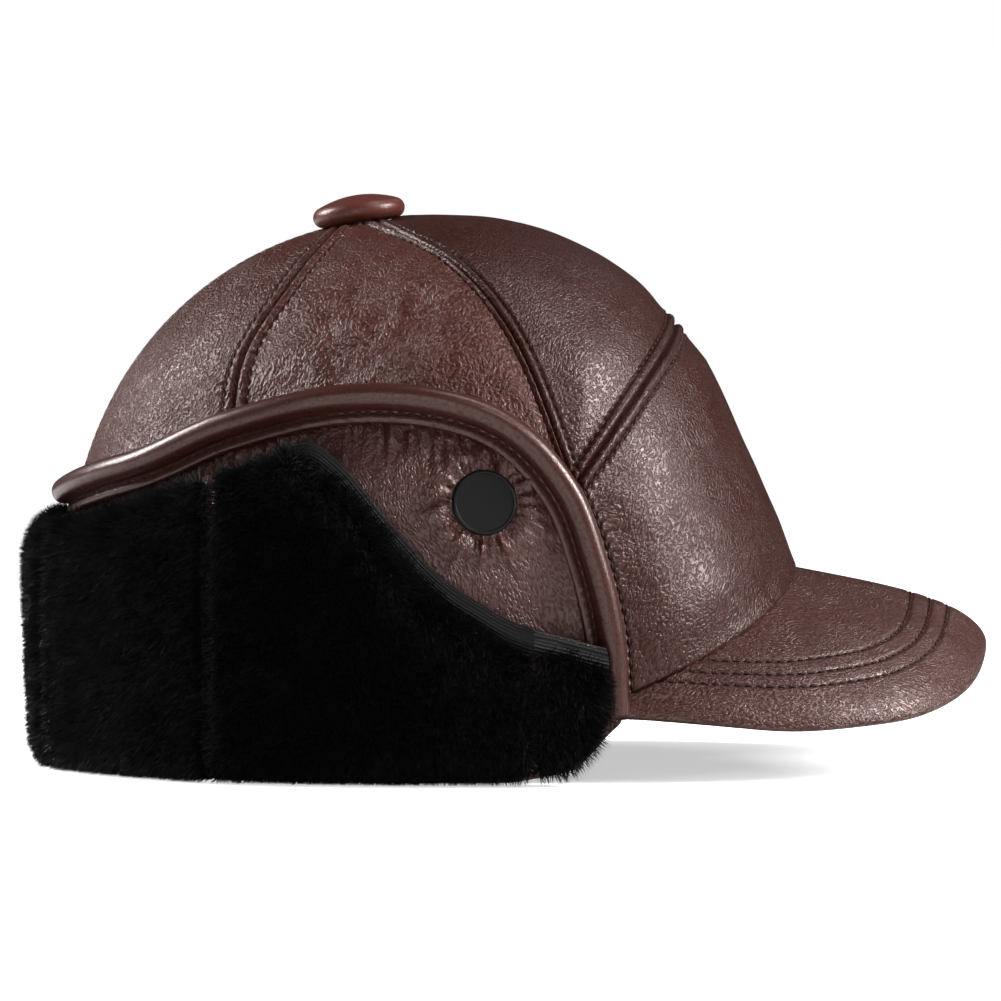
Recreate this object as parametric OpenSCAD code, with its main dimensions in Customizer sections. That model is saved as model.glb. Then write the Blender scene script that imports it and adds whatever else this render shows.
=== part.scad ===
// Leather trapper hat: a panelled crown with a stiff arched brim, a rolled leather edge that arches
// over the ears, a recessed ear band, and a fur cuff round the back that turns down over the ears.
// +X is forward, +Y is the wearer's left, and the hat stands on z = 0.

/* [Crown] */
// Height of the crown over the standing surface
crown_h = 160; // [154:0.5:166]
// Half width of the crown outside
crown_w = 88; // [84:0.5:92]
// Length of the crown behind its centre
crown_back = 108; // [104:0.5:112]
// Length of the crown before its centre, in the dome
crown_front = 97; // [95:0.5:99]
// Leather with its backing cloth
leather_t = 1.9; // [1.2:0.1:2.2]
// How far a panel swells between its seams
panel_swell = 1.1; // [0:0.1:2]

/* [Button] */
// Diameter of the covered top button
button_d = 27; // [22:0.5:30]
// Height of the covered top button
button_h = 8.5; // [6:0.5:10]

/* [Brim] */
// Thickness of the brim with its board and both leathers
brim_t = 4.2; // [3.4:0.1:5]
// Part of that thickness that the board takes
board_share = 0.45; // [0.3:0.05:0.6]

/* [Rolled edge] */
// Diameter of the rolled leather edge
roll_d = 7.4; // [6:0.2:8.2]

/* [Ear band] */
// How far the ear panel lies below the crown leather
band_drop = 2.2; // [2.2:0.1:3]
// Depth of the short fur inside the band
inner_pile = 5; // [3:0.5:7]
// Diameter of the ear disc
disc_d = 18.5; // [15:0.5:22]
// Height of the ear disc over its panel
disc_h = 2.4; // [1.5:0.1:3]

/* [Fur cuff] */
// Depth of the fur on the turned-up cuff
cuff_pile = 12.6; // [10:0.2:13]
// Width of the tape on the cuff's free edge
tape_w = 8; // [6:0.5:10]
// Clearance between neighbouring cuff sections
cuff_gap = 1; // [0.8:0.1:1.4]

/* [Hidden] */

leather = "#4a2420";
dark_leather = "#3a1b18";
fur = "#121212";
lining = "#2b2523";

xc = -20;              // plan centre of the crown
shoulder = 45;         // below this height the walls stand nearly upright
dome = crown_h - shoulder;
core = [xc, 0, shoulder];
button_at = [-42, 0, 158];   // where the panels meet, near the top

// ---- Curves ----
function lerp(a, b, t) = a + (b - a) * t;
function unit(v) = v / norm(v);
function flip(p) = [p[0], -p[1], p[2]];
function catmull(a, b, c, d, t) =
    0.5 * (2 * b + (c - a) * t + (2 * a - 5 * b + 4 * c - d) * t * t + (3 * b - a - 3 * c + d) * t * t * t);
function spline(pts, t) =
    let (n = len(pts) - 1, s = min(max(t, 0), 1) * n, i = min(floor(s), n - 1))
    catmull(
        i > 0 ? pts[i - 1] : 2 * pts[0] - pts[1], pts[i], pts[i + 1],
        i + 2 <= n ? pts[i + 2] : 2 * pts[n] - pts[n - 1], s - i);

// ---- Crown surface: a superellipsoid whose forehead is a straight slope ----
function taper(t, n) = pow(max(0, 1 - pow(min(max(t, 0), 1), n)), 1 / n);
function rise(z) = (z - shoulder) / dome;
function tuck(z) = z < shoulder ? 3 * pow(1 - z / shoulder, 2) : 0;
function back_len(z) = crown_back * taper(rise(z), 2.2) - tuck(z);
function front_len(z) =
    let (slope_z = 118, slope_x = crown_front * taper(rise(slope_z), 2.2))
    z > slope_z ? crown_front * taper(rise(z), 2.2) : slope_x + 0.4526 * (slope_z - z);
function half_w(z) = crown_w * taper(rise(z), 2.35) - tuck(z);
function level(p) =
    let (ax = p[0] > xc ? front_len(p[2]) : back_len(p[2]), aw = half_w(p[2]))
    p[2] >= crown_h ? 9 : sqrt(pow((p[0] - xc) / max(ax, 0.01), 2) + pow(p[1] / max(aw, 0.01), 2));
function reach(dir, lo = 20, hi = 190, i = 22) =
    i == 0 ? (lo + hi) / 2 :
    let (mid = (lo + hi) / 2)
    level(core + mid * dir) > 1 ? reach(dir, lo, mid, i - 1) : reach(dir, mid, hi, i - 1);
function on_crown(p) = let (dir = unit(p - core)) core + reach(dir) * dir;
function outward(p) =
    let (h = 0.4)
    unit([
        level(p + [h, 0, 0]) - level(p - [h, 0, 0]),
        level(p + [0, h, 0]) - level(p - [0, h, 0]),
        p[2] > crown_h - 0.8 ? 1 : level(p + [0, 0, h]) - level(p - [0, 0, h])]);
function skin(p, d) = let (q = on_crown(p)) q + d * outward(q);

// ---- Seams and edges on the crown, right side ----
temple = [19, -76.6, 82.5];                // foot of the front seam
ear_back = [-76.5, -65, 102.3];            // foot of the back seam
nape = [-125, 0, 82.5];
brim_corner = [33.8, -78.6, 23.5];
back_seam = [[-47.6, -9, 157], [-52, -28, 152], [-62, -46, 139], [-73.5, -57, 119], ear_back];
front_seam = [[-38, -11, 158], [-29, -34, 154], [-13, -51.5, 144.5], [3, -66.5, 124], [14, -75, 98], temple];
centre_back = [[-52, 0, 156.5], [-72, 0, 150], [-98, 0, 128], [-117, 0, 102], nape];
front_edge = [temple, [22.8, -76.7, 74], [26.8, -77, 63], [31.8, -77.2, 42], brim_corner];
forehead_top = [temple, [34, -61, 103.3], [48, -30, 123.5], [50.5, 0, 129.5]];
brim_joint = [
    brim_corner, [49, -71, 30.3], [66, -57.2, 39.3], [77.5, -39.5, 47.8], [83.3, -20, 54.2], [85.3, 0, 57.6]];
ear_arch = [
    brim_corner, [31.8, -77.2, 42], [26.8, -77, 63], temple, [4, -77, 99.5], [-16, -77.5, 108.3],
    [-44, -74.5, 109.8], ear_back, [-104, -45.5, 90], nape];

// Closed lower edge of the crown, as a function of 0 at the front to 1 at the centre back
front_share = 0.3;
function mirrored(pts) = let (n = len(pts) - 1) concat(pts, [for (i = [n - 1:-1:0]) flip(pts[i])]);
full_joint = mirrored(brim_joint);
full_arch = mirrored(ear_arch);
function rim(t, side) =
    let (p = t < front_share ? spline(full_joint, 0.5 - 0.5 * t / front_share)
                             : spline(full_arch, 0.5 * (t - front_share) / (1 - front_share)))
    side > 0 ? flip(p) : p;

// ---- Solids ----
// A grid of points outside and one inside, closed round the border into one solid
module sheet(outer, inner) {
    rows = len(outer);
    cols = len(outer[0]);
    count = rows * cols;
    pts = concat([for (r = outer) each r], [for (r = inner) each r]);
    border = concat(
        [for (j = [0:cols - 1]) j],
        [for (i = [1:rows - 1]) i * cols + cols - 1],
        [for (j = [cols - 2:-1:0]) (rows - 1) * cols + j],
        [for (i = [rows - 2:-1:1]) i * cols]);
    top = [for (i = [0:rows - 2], j = [0:cols - 2])
        let (a = i * cols + j, b = a + 1, c = a + cols, d = c + 1) each [[a, b, c], [b, d, c]]];
    under = [for (f = top) [f[0] + count, f[2] + count, f[1] + count]];
    n = len(border);
    wall = [for (k = [0:n - 1])
        let (a = border[k], b = border[(k + 1) % n]) each [[b, a, a + count], [b, a + count, b + count]]];
    polyhedron(points = pts, faces = concat(top, under, wall));
}

// The same for a grid that closes on itself along its rows
module ring_sheet(outer, inner) {
    rows = len(outer);
    cols = len(outer[0]);
    count = rows * cols;
    pts = concat([for (r = outer) each r], [for (r = inner) each r]);
    top = [for (i = [0:rows - 2], j = [0:cols - 1])
        let (k = (j + 1) % cols, a = i * cols + j, b = i * cols + k, c = a + cols, d = b + cols)
        each [[a, b, c], [b, d, c]]];
    under = [for (f = top) [f[0] + count, f[2] + count, f[1] + count]];
    wall = [for (j = [0:cols - 1])
        let (k = (j + 1) % cols, e = (rows - 1) * cols)
        each [[k, j, j + count], [k, j + count, k + count],
              [e + j, e + k, e + k + count], [e + j, e + k + count, e + j + count]]];
    polyhedron(points = pts, faces = concat(top, under, wall));
}

// A rod of round section along a list of points that run round the crown
module rod(path, r, sides) {
    n = len(path);
    ring = [for (i = [0:n - 1])
        let (dir = unit(path[min(i + 1, n - 1)] - path[max(i - 1, 0)]),
             u = unit(cross(dir, path[i] - core)), v = cross(u, dir))
        [for (k = [0:sides - 1]) path[i] + r * (cos(360 * k / sides) * u + sin(360 * k / sides) * v)]];
    pts = [for (g = ring) each g];
    side = [for (i = [0:n - 2], k = [0:sides - 1])
        let (m = (k + 1) % sides, a = i * sides + k, b = i * sides + m, c = a + sides, d = b + sides)
        each [[a, c, b], [b, c, d]]];
    ends = [[for (k = [0:sides - 1]) k], [for (k = [sides - 1:-1:0]) (n - 1) * sides + k]];
    polyhedron(points = pts, faces = concat(side, ends));
}

// Panel grid: four edges given as functions of 0 to 1, filled in and laid on the crown
function patch(left, right, top, bottom, rows, cols, d, swell) =
    [for (i = [0:rows]) let (t = i / rows)
        [for (j = [0:cols]) let (
            s = j / cols,
            p = lerp(spline(left, t), spline(right, t), s)
                + (1 - t) * (spline(top, s) - lerp(top[0], top[len(top) - 1], s))
                + t * (spline(bottom, s) - lerp(bottom[0], bottom[len(bottom) - 1], s)))
            skin(p, d + swell * pow(sin(180 * s) * sin(180 * t), 0.5))]];

module panel(left, right, top, bottom, rows, cols) {
    sheet(patch(left, right, top, bottom, rows, cols, 0, panel_swell),
          patch(left, right, top, bottom, rows, cols, -leather_t, 0));
}

seam_rows = 10;             // panels that share a seam share its steps

module side_panel() {
    tip = [front_seam[0], [-43, -11, 158], back_seam[0]];
    arch = [temple, [5, -77, 98.8], [-14, -77.6, 107.6], [-38, -75.5, 110], [-60, -70.5, 106.6], ear_back];
    color(leather) panel(front_seam, back_seam, tip, arch, seam_rows, 7);
}

module back_panel() {
    tip = [back_seam[0], [-51.4, -4.5, 157], centre_back[0]];
    arch = [ear_back, [-93, -56, 95.5], [-109, -41, 88], [-121, -21, 84], nape];
    color(leather) panel(back_seam, centre_back, tip, arch, seam_rows, 7);
}

module top_front_panel() {
    left_seam = [for (p = front_seam) flip(p)];
    tip = [[-38, 11, 158], [-33.2, 5.6, 159], [-32, 0, 159], [-33.2, -5.6, 159], [-38, -11, 158]];
    color(leather) panel(left_seam, front_seam, tip, mirrored([for (p = forehead_top) flip(p)]), seam_rows, 16);
}

module forehead_panel() {
    left_edge = [for (p = front_edge) flip(p)];
    top = mirrored([for (p = forehead_top) flip(p)]);
    bottom = mirrored([for (p = brim_joint) flip(p)]);
    color(leather) panel(left_edge, front_edge, top, bottom, 7, 16);
}

opening_r = 3;              // the layers inside the crown leave a hole for the button's rivet
bow = 30;                   // keeps the line from the button to the rim outside the crown, to be laid on it
// Layers that run all round inside the crown, from the button down to a height over or under the rim
function shell_grid(d, drop, rows, cols) =
    [for (i = [0:rows]) let (t = i / rows)
        [for (j = [0:cols - 1]) let (
            share = j < cols / 2 ? 2 * j / cols : 2 - 2 * j / cols,
            edge = rim(share, j < cols / 2 ? 1 : -1) + [0, 0, drop],
            a = atan2(edge[1], edge[0] - button_at[0]),
            tip = button_at + opening_r * [cos(a), sin(a), 0])
            skin(lerp(tip, edge, t) + [0, 0, bow * sin(180 * t)], d)]];

module crown_padding() {
    color("#6b5a4a") ring_sheet(shell_grid(-leather_t - 0.2, 8, 8, 36), shell_grid(-leather_t - 1.2, 8, 8, 36));
}

module crown_lining() {
    color(lining) ring_sheet(shell_grid(-leather_t - 2.4, -6, 8, 36), shell_grid(-leather_t - 3.2, -6, 8, 36));
}

// A strip across the front between two heights over the crown's rim, to the same share on either side
module front_strip(share, low, high, d, thick, cols, rows) {
    function layer(off) = [for (i = [0:rows]) [for (j = [-cols:cols]) let (
        e = rim(share * abs(j) / cols, j < 0 ? -1 : 1))
        skin(e + [0, 0, lerp(high, low, i / rows)], off)]];
    sheet(layer(d), layer(d - thick));
}

module forehead_stiffener() {
    color("#8c8070") front_strip(0.2, 10, 44, -leather_t - 1.4, 0.8, 8, 4);
}

module sweatband() {
    color(dark_leather) front_strip(0.29, 2, 34, -leather_t - 3.6, 1, 10, 4);
}

// ---- Button ----
button_seat = skin(button_at, 0);
button_lean = atan2(outward(button_seat)[0], outward(button_seat)[2]);
module at_button() {
    translate(button_seat) rotate([0, button_lean, 0]) children();
}

module crown_button() {
    r = button_d / 2;
    color(leather) at_button() rotate_extrude($fn = 64) polygon(concat(
        [[0, 1.2], [r / 2, 0.9], [r - 2.2, -0.1]],
        [for (a = [-60:20:60]) [r - 2.6 + 2.6 * cos(a), 3 + 3 * sin(a)]],
        [for (k = [1:6]) let (s = 1 - k / 6) [(r - 1.3) * s, button_h - (button_h - 5.6) * s * s]]));
}

module button_rivet() {
    color("#9a9a9a") at_button() translate([0, 0, -6.1]) {
        cylinder(d = 4, h = 7.3, $fn = 32);
        cylinder(d = 10, h = 1, $fn = 32);
    }
}

// ---- Brim ----
brim_outer = [
    [30, -82.4, 20], [58, -84.3, 17.3], [81, -81.4, 15.2], [101, -74, 15.9], [118, -62.5, 17.8],
    [130.5, -46.5, 22.2], [138, -27, 28.4], [141.6, 0, 35.4]];
full_brim = mirrored(brim_outer);
brim_lift = 11.5;           // how far the brim rises over a straight slope, at its middle
// Across from the right temple (0) to the left (1), and out from the crown (0) to the edge (1)
function brim_point(across, s, d) =
    let (base = lerp(spline(full_joint, across), spline(full_brim, across), s),
         middle = 1 - pow(abs(2 * across - 1), 3),
         lift = middle * brim_lift * (s - 1 + sqrt(max(0, 1 - pow(s, 4)))))
    base + [0, 0, lift + d];
function brim_grid(d, rows, cols) =
    [for (i = [0:rows]) [for (j = [0:cols]) brim_point(1 - j / cols, lerp(0.03, 1, i / rows), d)]];

module brim_layer(top_d, thick) {
    sheet(brim_grid(top_d, 7, 24), brim_grid(top_d - thick, 7, 24));
}

leather_share = brim_t * (1 - board_share) / 2;
module brim_top_leather() {
    color(leather) brim_layer(0, leather_share);
}
module brim_board() {
    color("#20242a") brim_layer(-leather_share, brim_t * board_share);
}
module brim_under_leather() {
    color(dark_leather) brim_layer(-leather_share - brim_t * board_share, leather_share);
}

// ---- Rolled edge ----
// The roll lies inside the arch, stands a little further out at the nape, and ends under the brim's corner
roll_foot = 4;
nape_lift = 2.2;
module rolled_edge() {
    steps = 40;
    arch = [for (i = [0:steps]) let (
        at = spline(full_arch, 0.5 * i / steps),
        next = spline(full_arch, 0.5 * (i + 0.5) / steps),
        inward = unit(cross(outward(on_crown(at)), next - at)))
        skin(at + (roll_d / 2 - 0.3) * inward, roll_d / 2 - 1.2 + nape_lift * pow(i / steps, 4))];
    path = concat([arch[0] + roll_foot * unit(arch[0] - arch[1])], arch);
    color(leather) rod(path, roll_d / 2, 8);
}

// ---- Ear band ----
// Lower edge of the band: on the ground at the back, then rising to the brim's corner
function band_low(x) = lookup(x, [[-30, 0], [-1, 2.6], [13, 4.3], [19, 5.6], [25, 11], [34, 19]]);
band_start = 0.31;          // share of the rim where the band begins, at the temple
band_steps = 20;            // columns from a temple to the centre back, the same for every layer
nape_step = 15;             // column of the seam between the ear panels and the nape panel
band_rows = 5;
// Columns count from 0 at the right temple, over band_steps at the centre back, to the left temple.
// The top row lies over or under the rim, and the others are shared by all layers.
function band_grid(from, to, d, high) =
    [for (i = [high > 0 ? -1 : 0:band_rows]) [for (j = [from:to]) let (
        k = j <= band_steps ? j : 2 * band_steps - j,
        e = rim(lerp(band_start, 1, k / band_steps), j <= band_steps ? -1 : 1),
        low = band_low(e[0]),
        z = i < 0 ? e[2] + high : lerp(e[2] - 9, low, i / band_rows),
        q = skin([e[0], e[1], z], d))
        [q[0], q[1], i == band_rows ? low : q[2]]]];

module band_layer(from, to, d, thick, high) {
    sheet(band_grid(from, to, d, high), band_grid(from, to, d - thick, high));
}

band_t = 1.2;
module ear_panel(from) {
    color(dark_leather) band_layer(from, from + nape_step, -band_drop, band_t, 7);
}

module nape_panel() {
    color(dark_leather) band_layer(nape_step, 2 * band_steps - nape_step, -band_drop, band_t, 7);
}

// The fur lining of the band, one piece from temple to temple round the back
module band_fur_lining() {
    color(fur) band_layer(0, 2 * band_steps, -band_drop - band_t, inner_pile, 0);
}

// ---- Ear disc ----
disc_at = [-5.6, -82.7, 78];
module on_disc() {
    n = outward(on_crown(disc_at));
    translate(skin(disc_at, -band_drop)) rotate([0, 90 - asin(n[2]), atan2(n[1], n[0])]) children();
}

module ear_disc() {
    r = disc_d / 2;
    color("#17171a") on_disc() {
        rotate_extrude($fn = 64)
            polygon([[0, 0.3], [r - 1, 0.3], [r, 1], [r, disc_h - 0.5], [r - 0.5, disc_h], [r - 1.3, disc_h],
                     [r - 1.6, disc_h - 0.35], [0, disc_h - 0.35]]);
        translate([0, 0, -1.6]) cylinder(d = 3, h = 2.5, $fn = 32);
    }
}

module disc_washer() {
    color("#8a8a8a") on_disc() translate([0, 0, -2.2]) difference() {
        cylinder(d = 9, h = 0.6, $fn = 48);
        translate([0, 0, -1]) cylinder(d = 3, h = 3, $fn = 32);
    }
}

// ---- Fur cuff, in flat-backed sections that each turn down on the fold at the bottom ----
// Each section stands on a line that touches the band's outline; its direction is the outward normal
cuff_dirs = [180, 222, 262, 288];          // nape, rear, ear, temple, on the right side
cuff_stand_off = [0.9, 0.9, 0.9, 6.7];     // the temple section clears the rolled edge
cuff_front_x = 28;
function support(i) =
    let (a = crown_back - band_drop, b = crown_w - band_drop, c = cuff_dirs[i],
         fa = cos(c) > 0 ? 118 : a)
    sqrt(pow(fa * cos(c), 2) + pow(b * sin(c), 2)) + cuff_stand_off[i];
// Where two neighbouring fold lines cross, seen from the crown's centre
function corner(i) =
    let (a = cuff_dirs[i], b = cuff_dirs[i + 1], p = support(i), q = support(i + 1), s = sin(b - a))
    [(p * sin(b) - q * sin(a)) / s, (q * cos(a) - p * cos(b)) / s];
function foot(i) = support(i) * [cos(cuff_dirs[i]), sin(cuff_dirs[i])];
function along(i) = [-sin(cuff_dirs[i]), cos(cuff_dirs[i])];
// Ends of a section along its own line, measured from the foot of its normal
function near_end(i) = i == 0 ? -far_end(0) : (corner(i - 1) - foot(i)) * along(i);
function far_end(i) = i < 3 ? (corner(i) - foot(i)) * along(i)
    : (cuff_front_x - xc - foot(3)[0]) / along(3)[0];
function near_lean(i) = i == 0 ? far_lean(0) : far_lean(i - 1);
function far_lean(i) = i < 3 ? tan((cuff_dirs[i + 1] - cuff_dirs[i]) / 2) : 0;

// Height of the cuff's free edge over the ground, by how far forward it is
cuff_top_x = [-150, -128, -110, -85, -66, -54, -46, -34, -22, -14, -6, 2, 14, 30];
cuff_top_z = [73.5, 73.5, 77.5, 85, 91, 95, 89.5, 75.5, 62, 55.5, 50.5, 46, 42.5, 38.5];
function cuff_top(x) = lookup(x, [for (k = [0:len(cuff_top_x) - 1]) [cuff_top_x[k], cuff_top_z[k]]]);
function plan(i, u, d) = [xc, 0] + (support(i) + d) * [cos(cuff_dirs[i]), sin(cuff_dirs[i])] + u * along(i);
function top_at(i, u) = cuff_top(plan(i, u, 0)[0]);
// The fold rises from the ground with the band, and turns up at its front end
function fold_low(i, u) =
    lookup(plan(i, u, 0)[0], [[-30, 0.4], [-1, 3], [13, 4.7], [18.5, 6], [22, 9], [25, 13], [28, 20]]);

backing_t = 1.4;
hinge_gap = 0.4;            // from the fold line to the back of a section
tape_t = 1.4;
tape_end_x = -60;           // the tape runs forward from here
function ends(i, d) = [near_end(i) + max(d, 0) * near_lean(i) + cuff_gap / 2,
                       far_end(i) - max(d, 0) * far_lean(i) - cuff_gap / 2];

// Sets a flat outline, drawn as distance along the fold and height, upright on its fold line
module upright(i, from) {
    p = plan(i, 0, from);
    translate([p[0], p[1], 0]) rotate([0, 0, cuff_dirs[i] + 90]) rotate([90, 0, 0]) children();
}

module flap_leather(i) {
    e = ends(i, backing_t + hinge_gap);
    n = 8;
    us = [for (k = [0:n]) lerp(e[0], e[1], k / n)];
    color(dark_leather) upright(i, hinge_gap) linear_extrude(backing_t)
        polygon(concat(
            [for (u = us) [u, top_at(i, u) - 0.5]],
            [for (k = [n:-1:0]) [us[k], fold_low(i, us[k])]]));
}

module flap_tape(i) {
    e = ends(i, backing_t + hinge_gap + tape_t);
    n = 8;
    us = [for (k = [0:n]) lerp(e[0], e[1], k / n)];
    used = [for (u = us) if (plan(i, u, 0)[0] > tape_end_x) u];
    m = len(used) - 1;
    color("#0c0c0c") upright(i, backing_t + hinge_gap) linear_extrude(tape_t)
        polygon(concat(
            [for (u = used) [u, top_at(i, u)]],
            [for (k = [m:-1:0]) [used[k], top_at(i, used[k]) - tape_w]]));
}

// Pile: flat behind, full and rounded in front, thinner away from a section's middle
edge_share = 0.35;          // share of the pile's depth left at the fold and at the free edge
function pile_depth(i, u, v) =
    let (r = crown_w + cuff_pile, sag = i == 3 ? 0.6 : 0.55 * (r - sqrt(r * r - pow(min(abs(u), r / 2), 2))),
         round = pow(max(0, sin(180 * pow(v, 1.25))), 0.4))
    backing_t + hinge_gap + (cuff_pile - sag) * lerp(edge_share, 1, round);

module flap_fur(i) {
    inner_d = backing_t + hinge_gap;
    cols = 8;
    rows = 7;
    function drop(u) = i >= 2 && plan(i, u, 0)[0] > tape_end_x ? tape_w : 0;
    function low(u) = fold_low(i, u);
    function high(u) = top_at(i, u) - drop(u);
    function outer_pt(s, v) =
        let (u0 = lerp(near_end(i), far_end(i), s), d = pile_depth(i, u0, v), e = ends(i, d),
             u = lerp(e[0], e[1], s), p = plan(i, u, d))
        [p[0], p[1], lerp(low(u), high(u) - 0.1, v)];
    function inner_pt(s, v) =
        let (e = ends(i, inner_d), u = lerp(e[0], e[1], s), p = plan(i, u, inner_d))
        [p[0], p[1], lerp(low(u), high(u) - 0.1, v)];
    color(fur) sheet(
        [for (k = [rows:-1:0]) [for (j = [0:cols]) outer_pt(j / cols, k / rows)]],
        [for (k = [rows:-1:0]) [for (j = [0:cols]) inner_pt(j / cols, k / rows)]]);
}

module left() {
    mirror([0, 1, 0]) children();
}

forehead_panel();
top_front_panel();
side_panel();  // side_panel_right
left() side_panel();  // side_panel_left
back_panel();  // back_panel_right
left() back_panel();  // back_panel_left
forehead_stiffener();
crown_padding();
crown_lining();
sweatband();
crown_button();
button_rivet();
brim_top_leather();
brim_board();
brim_under_leather();
rolled_edge();  // rolled_edge_right
left() rolled_edge();  // rolled_edge_left
ear_panel(0);  // ear_panel_right
ear_panel(2 * band_steps - nape_step);  // ear_panel_left
nape_panel();
band_fur_lining();
ear_disc();  // ear_disc_right
left() ear_disc();  // ear_disc_left
disc_washer();  // disc_washer_right
left() disc_washer();  // disc_washer_left
flap_fur(0);  // nape_flap_fur
flap_leather(0);  // nape_flap_leather
flap_fur(1);  // rear_flap_fur_right
flap_leather(1);  // rear_flap_leather_right
left() flap_fur(1);  // rear_flap_fur_left
left() flap_leather(1);  // rear_flap_leather_left
flap_fur(2);  // ear_flap_fur_right
flap_leather(2);  // ear_flap_leather_right
flap_tape(2);  // ear_flap_tape_right
left() flap_fur(2);  // ear_flap_fur_left
left() flap_leather(2);  // ear_flap_leather_left
left() flap_tape(2);  // ear_flap_tape_left
flap_fur(3);  // temple_flap_fur_right
flap_leather(3);  // temple_flap_leather_right
flap_tape(3);  // temple_flap_tape_right
left() flap_fur(3);  // temple_flap_fur_left
left() flap_leather(3);  // temple_flap_leather_left
left() flap_tape(3);  // temple_flap_tape_left
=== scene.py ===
# Leather trapper hat with a fur cuff, dressed round its packed construction model.
import math

import bmesh
import bpy
import numpy as np
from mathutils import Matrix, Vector, kdtree, noise


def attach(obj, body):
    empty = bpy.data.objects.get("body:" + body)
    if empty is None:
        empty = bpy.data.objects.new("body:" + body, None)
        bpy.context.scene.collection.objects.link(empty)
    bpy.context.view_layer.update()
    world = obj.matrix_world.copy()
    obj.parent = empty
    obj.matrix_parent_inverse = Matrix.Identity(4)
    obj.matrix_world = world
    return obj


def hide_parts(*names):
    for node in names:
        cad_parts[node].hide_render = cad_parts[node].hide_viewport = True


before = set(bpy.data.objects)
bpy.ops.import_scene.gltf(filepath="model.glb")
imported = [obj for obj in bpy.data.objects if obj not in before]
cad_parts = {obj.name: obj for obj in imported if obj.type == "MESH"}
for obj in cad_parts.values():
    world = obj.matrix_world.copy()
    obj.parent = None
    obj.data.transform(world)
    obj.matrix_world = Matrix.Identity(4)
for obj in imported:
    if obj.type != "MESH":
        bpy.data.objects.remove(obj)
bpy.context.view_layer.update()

# ---- Studio ----------------------------------------------
# White paper under soft boxes of light, seen through a long lens at the height of the hat. The two
# strongest boxes stand far to the left and right, so the crown's side stays darker than its ends.
scene = bpy.context.scene
scene.view_settings.view_transform = "Standard"

camera_distance = 1.6
camera_tilt = math.radians(1.5)
aim = Vector((-0.001, 0.0, 0.077))
picture_steps = 1001
picture_scale = 0.000294  # metres at the hat for each of the picture's steps


def new_object(name, data):
    made = bpy.data.objects.new(name, data)
    scene.collection.objects.link(made)
    return made


camera_data = bpy.data.cameras.new("camera")
camera_data.sensor_width = 36.0
camera_data.lens = camera_data.sensor_width * camera_distance / (picture_scale * picture_steps)
camera_data.clip_start = 0.05
camera_data.clip_end = 50.0
camera = new_object("camera", camera_data)
camera.location = aim + camera_distance * Vector((0.0, -math.cos(camera_tilt), math.sin(camera_tilt)))
camera.rotation_euler = (math.pi / 2 - camera_tilt, 0.0, 0.0)
scene.camera = camera

lit_point = Vector((0.0, 0.0, 0.08))
for name, place, width, height, power in (
        ("light_left", (-1.5, 0.45, 0.95), 0.45, 0.8, 44.0),
        ("light_right", (1.35, -0.3, 0.85), 0.35, 0.6, 38.0),
        ("light_key", (0.75, -1.05, 1.25), 0.3, 0.3, 3.0),
        ("light_over", (0.45, -0.05, 1.4), 0.5, 0.5, 4.0),
        ("light_back", (0.55, 1.0, 0.95), 0.3, 0.3, 0.3),
        ("light_camera", (-0.4, -1.9, 0.5), 1.4, 1.0, 8.0)):
    light_data = bpy.data.lights.new(name, "AREA")
    light_data.shape = "RECTANGLE"
    light_data.size = width
    light_data.size_y = height
    light_data.energy = power
    lamp = new_object(name, light_data)
    lamp.location = place
    lamp.rotation_euler = (lit_point - Vector(place)).to_track_quat("-Z", "Y").to_euler()


def node_adder(tree):
    """Empties a node tree and returns the function that adds nodes to it."""
    tree.nodes.clear()

    def add(kind, inputs=None, **settings):
        """A new node's outputs. Each input is given a value, an output, or another node's outputs, of
        which it takes the first."""
        node = tree.nodes.new(kind)
        for key, value in settings.items():
            setattr(node, key, value)
        for key, value in (inputs or {}).items():
            if isinstance(value, bpy.types.bpy_prop_collection):
                value = value[0]
            if isinstance(value, bpy.types.NodeSocket):
                tree.links.new(value, node.inputs[key])
            else:
                node.inputs[key].default_value = value
        return node.outputs

    return add


def new_material(name):
    material = bpy.data.materials.new(name)
    material.use_nodes = True
    return material, node_adder(material.node_tree)


def white_to_camera(add, lit, extra):
    """Shows the camera the extra white, and leaves the light on the hat alone."""
    return add("ShaderNodeMixShader", {"Fac": add("ShaderNodeLightPath")["Is Camera Ray"], 1: lit, 2: extra})


room_strength = 0.05
world = bpy.data.worlds.new("studio")
scene.world = world
world.use_nodes = True
add = node_adder(world.node_tree)
room_light = add("ShaderNodeBackground", {"Color": (1, 1, 1, 1), "Strength": room_strength})
room_white = add("ShaderNodeBackground", {"Color": (1, 1, 1, 1)})
add("ShaderNodeOutputWorld", {"Surface": white_to_camera(add, room_light, room_white)})

# The paper glows less near the hat, which paints a soft shadow round it, and turns to plain white away from
# the hat, so that the floor has no far edge.
floor_reach = 12.0
white_starts, white_full = 0.07, 0.15  # metres from the middle of the hat
shadow_glow_near, glow_far = 0.55, 1.0
floor_mesh = bpy.data.meshes.new("floor")
floor_corners = [(x * floor_reach, y * floor_reach, 0) for x, y in ((-1, -1), (1, -1), (1, 1), (-1, 1))]
floor_mesh.from_pydata(floor_corners, [], [(0, 1, 2, 3)])
floor = new_object("floor", floor_mesh)
floor_material, add = new_material("floor_paper")
paper = add("ShaderNodeBsdfDiffuse", {"Color": (0.8, 0.8, 0.8, 1)})
from_hat = add("ShaderNodeVectorMath", {0: add("ShaderNodeTexCoord")["Object"]}, operation="LENGTH")["Value"]
# Weaker glow close to the hat: a painted shadow on the paper round it.
fade = add("ShaderNodeMapRange", {"Value": from_hat, "From Min": white_starts, "From Max": white_full,
                                  "To Min": shadow_glow_near, "To Max": glow_far})
lit_paper = add("ShaderNodeAddShader", {0: paper, 1: add("ShaderNodeEmission", {"Strength": fade})})
add("ShaderNodeOutputMaterial", {"Surface": white_to_camera(add, paper, lit_paper)})
floor_mesh.materials.append(floor_material)

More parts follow.
